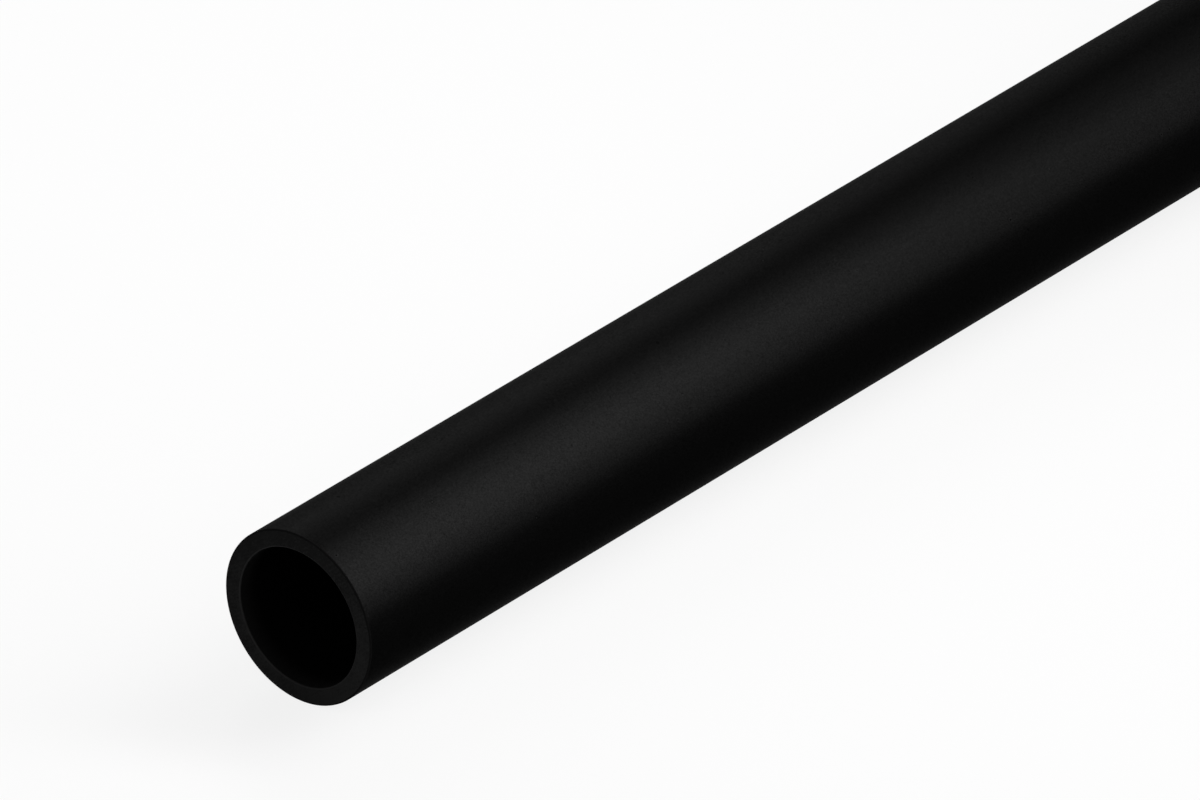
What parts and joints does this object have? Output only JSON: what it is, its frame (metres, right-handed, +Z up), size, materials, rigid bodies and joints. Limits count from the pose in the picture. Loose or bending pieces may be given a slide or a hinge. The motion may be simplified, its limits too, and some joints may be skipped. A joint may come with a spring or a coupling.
{
  "type": "pvc pipe",
  "caption": "Straight length of round black plastic pipe with an open bore, a smooth matte outside and square-sawn ends with broken edges.",
  "frame": {"origin": "on the pipe's axis at mid-length", "axes": "+X along the pipe's axis, towards the rear end (the pictured end is at -X); +Z up, as the pipe lies on its side"},
  "size_m": [1.016, 0.0334, 0.0334],
  "materials": {
    "black_pvc": "matte black, extruded, with sawn ends"
  },
  "bodies": {
    "root": {"pipe": "black_pvc"}
  },
  "joints": []
}
